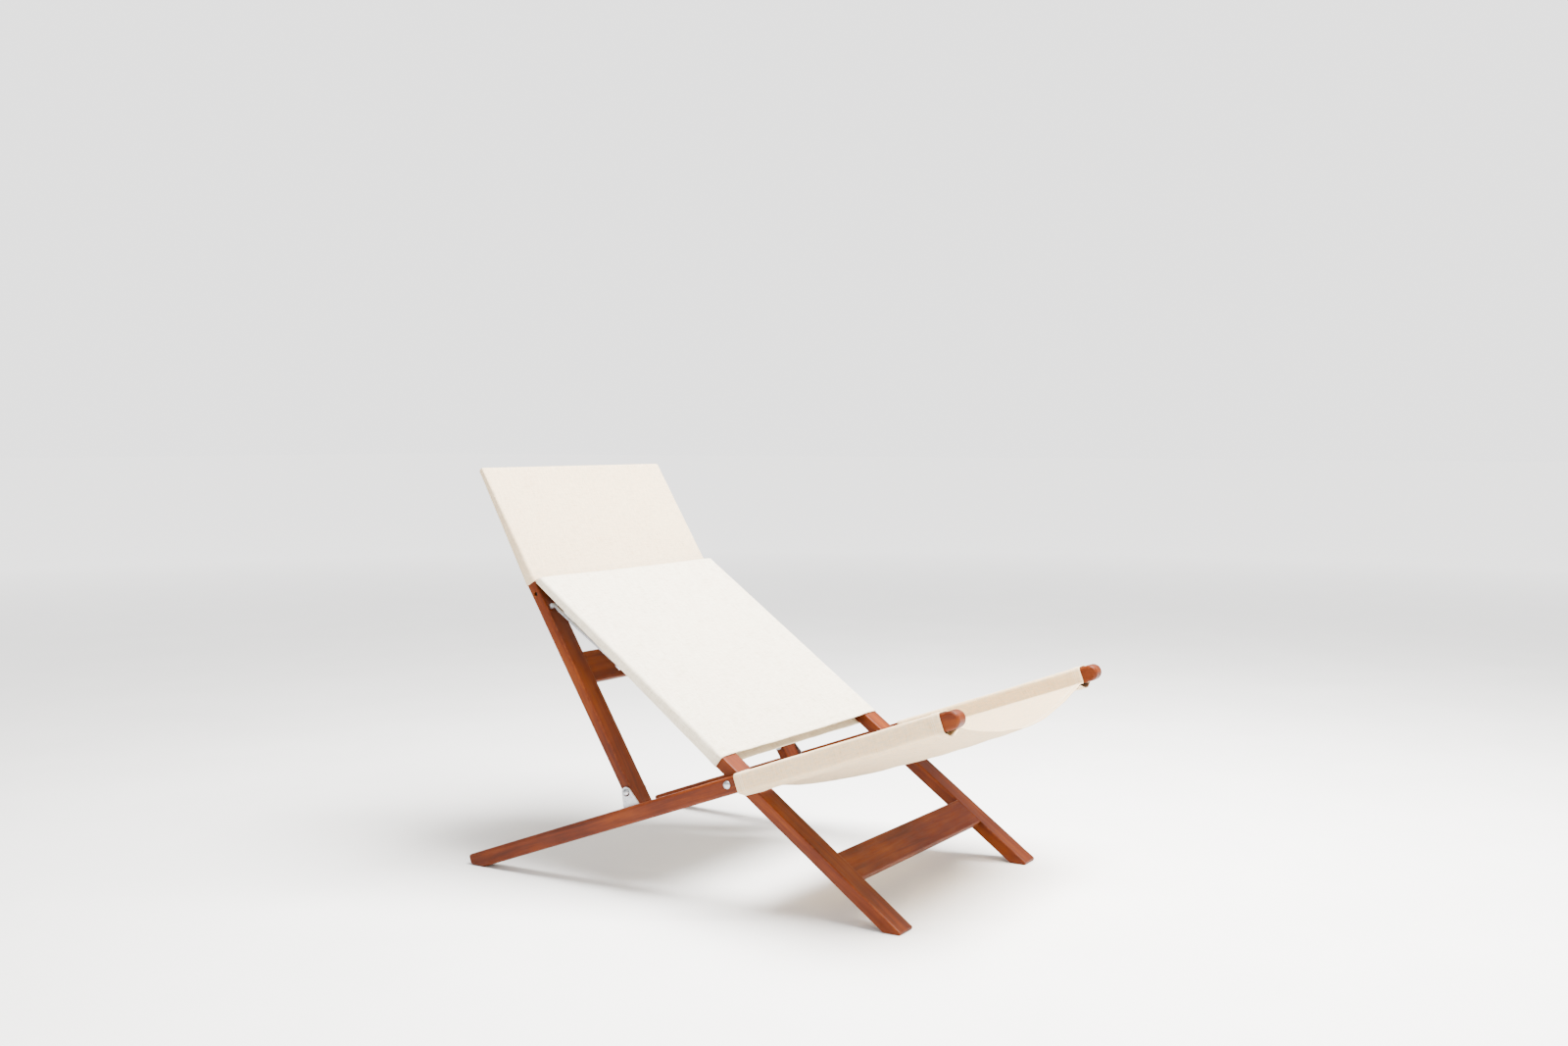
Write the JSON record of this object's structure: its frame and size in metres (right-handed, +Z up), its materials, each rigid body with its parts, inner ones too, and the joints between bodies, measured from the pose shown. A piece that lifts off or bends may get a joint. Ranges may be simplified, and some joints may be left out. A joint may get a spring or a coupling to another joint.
{
  "type": "beach_chair",
  "caption": "Folding wooden beach lounger with a slung canvas seat, a taut canvas back and a separate canvas headrest on rear struts.",
  "frame": {"origin": "On the floor, under the middle of the chair's overall box.", "axes": "X across the chair with the sitter's left at +X, Y from the front tips (-Y) to the rear feet (+Y), Z up."},
  "size_m": [0.679, 1.093, 0.8064],
  "materials": {
    "stained_beech": "satin",
    "linen_canvas": "matte",
    "zinc_steel": "satin",
    "dark_steel": "satin"
  },
  "bodies": {
    "back_frame": {"leg_rail_right": "stained_beech", "leg_rail_left": "stained_beech", "leg_board": "stained_beech", "back_rail": "stained_beech", "back_cover": "linen_canvas", "stay_peg_right": "zinc_steel", "stay_peg_left": "zinc_steel"},
    "seat_frame": {"seat_rail_right": "stained_beech", "seat_rail_left": "stained_beech", "seat_sling": "linen_canvas", "pivot_bolt_right": "zinc_steel", "pivot_bolt_left": "zinc_steel", "pivot_spacer_right": "zinc_steel", "pivot_spacer_left": "zinc_steel", "pivot_washer_right": "zinc_steel", "pivot_washer_left": "zinc_steel", "pivot_nut_right": "zinc_steel", "pivot_nut_left": "zinc_steel", "strut_bracket_right": "zinc_steel", "strut_bracket_left": "zinc_steel", "bracket_screw_front_right": "zinc_steel", "bracket_screw_front_left": "zinc_steel", "bracket_screw_rear_right": "zinc_steel", "bracket_screw_rear_left": "zinc_steel", "strut_bolt_right": "zinc_steel", "strut_bolt_left": "zinc_steel", "strut_spacer_right": "zinc_steel", "strut_spacer_left": "zinc_steel", "strut_washer_right": "zinc_steel", "strut_washer_left": "zinc_steel", "strut_nut_right": "zinc_steel", "strut_nut_left": "zinc_steel"},
    "strut_frame": {"strut_right": "stained_beech", "strut_left": "stained_beech", "strut_board": "stained_beech", "headrest_lower_rail": "stained_beech", "headrest_top_rail": "stained_beech", "headrest_screw_right": "dark_steel", "headrest_screw_left": "dark_steel", "headrest_cover": "linen_canvas", "stay_lug_right": "zinc_steel", "stay_lug_left": "zinc_steel", "stay_pin_right": "zinc_steel", "stay_pin_left": "zinc_steel"},
    "stay_right": {"stay_rod_right": "zinc_steel"},
    "stay_left": {"stay_rod_left": "zinc_steel"}
  },
  "joints": [
    {"name": "seat_fold", "type": "hinge", "parent": "back_frame", "child": "seat_frame", "pos_m": [0, -0.0842, 0.2342], "axis": [-1, 0, 0], "range_deg": [0, 124]},
    {"name": "strut_fold", "type": "hinge", "parent": "seat_frame", "child": "strut_frame", "pos_m": [0, 0.16955, 0.18479], "axis": [-1, 0, 0], "range_deg": [-101.41, 0]},
    {"name": "stay_right_swing", "type": "hinge", "parent": "strut_frame", "child": "stay_right", "pos_m": [-0.284, 0.36053, 0.53333], "axis": [-1, 0, 0], "range_deg": [-25.08, 0]},
    {"name": "stay_left_swing", "type": "hinge", "parent": "strut_frame", "child": "stay_left", "pos_m": [0.284, 0.36053, 0.53333], "axis": [-1, 0, 0], "range_deg": [-25.08, 0]}
  ],
  "couplings": [
    {"joint": "strut_fold", "follows": "seat_fold", "ratio": -0.81625},
    {"joint": "stay_right_swing", "follows": "seat_fold", "ratio": -0.20068},
    {"joint": "stay_left_swing", "follows": "seat_fold", "ratio": -0.20068}
  ]
}
